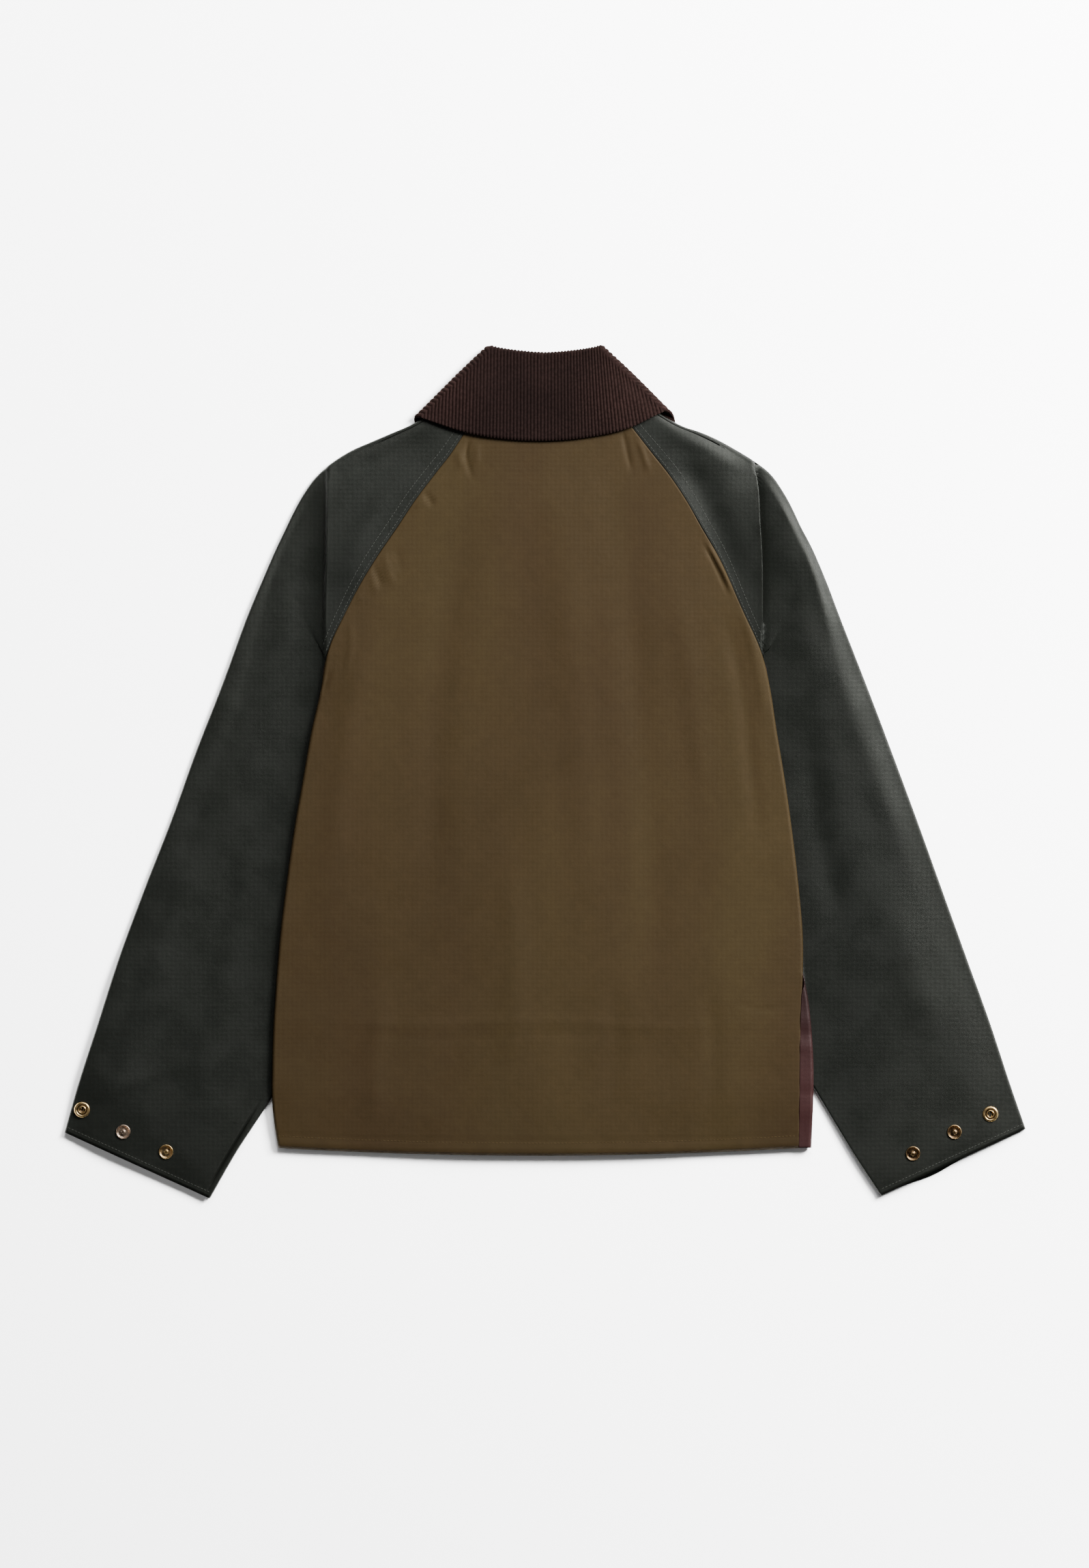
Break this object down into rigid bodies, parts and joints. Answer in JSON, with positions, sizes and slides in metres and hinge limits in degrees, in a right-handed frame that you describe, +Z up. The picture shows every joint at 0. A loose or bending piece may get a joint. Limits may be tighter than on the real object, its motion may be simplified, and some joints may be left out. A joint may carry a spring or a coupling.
{
  "type": "waxed cotton jacket",
  "caption": "Cropped waxed cotton jacket with raglan sleeves, corduroy collar and snap cuffs, laid flat on its front with the sleeves angled down.",
  "frame": {"origin": "middle of the underside, on the surface that the jacket lies on", "axes": "+Z up out of the back, +X to the wearer's right, +Y towards the collar"},
  "size_m": [0.9012, 0.7996, 0.0119],
  "materials": {
    "olive_waxed_cotton": "olive-brown waxed cotton with a soft sheen",
    "burgundy_waxed_cotton": "burgundy waxed cotton with a soft sheen",
    "dark_green_waxed_cotton": "green-black waxed cotton with a soft sheen",
    "brown_corduroy": "dark brown ribbed corduroy",
    "aged_brass": "lightly tarnished brass"
  },
  "bodies": {
    "root": {"back": "olive_waxed_cotton", "front_left": "burgundy_waxed_cotton", "front_right": "burgundy_waxed_cotton", "sleeve_left_back": "dark_green_waxed_cotton", "sleeve_left_front": "dark_green_waxed_cotton", "sleeve_right_back": "dark_green_waxed_cotton", "sleeve_right_front": "dark_green_waxed_cotton", "collar_leaf": "brown_corduroy", "collar_stand": "brown_corduroy", "cuff_left_socket": "aged_brass", "cuff_left_stud_1": "aged_brass", "cuff_left_stud_2": "aged_brass", "cuff_right_socket": "aged_brass", "cuff_right_stud_1": "aged_brass", "cuff_right_stud_2": "aged_brass", "front_snap_1": "aged_brass", "front_snap_2": "aged_brass", "front_snap_3": "aged_brass", "front_snap_4": "aged_brass", "front_snap_5": "aged_brass"}
  },
  "joints": []
}
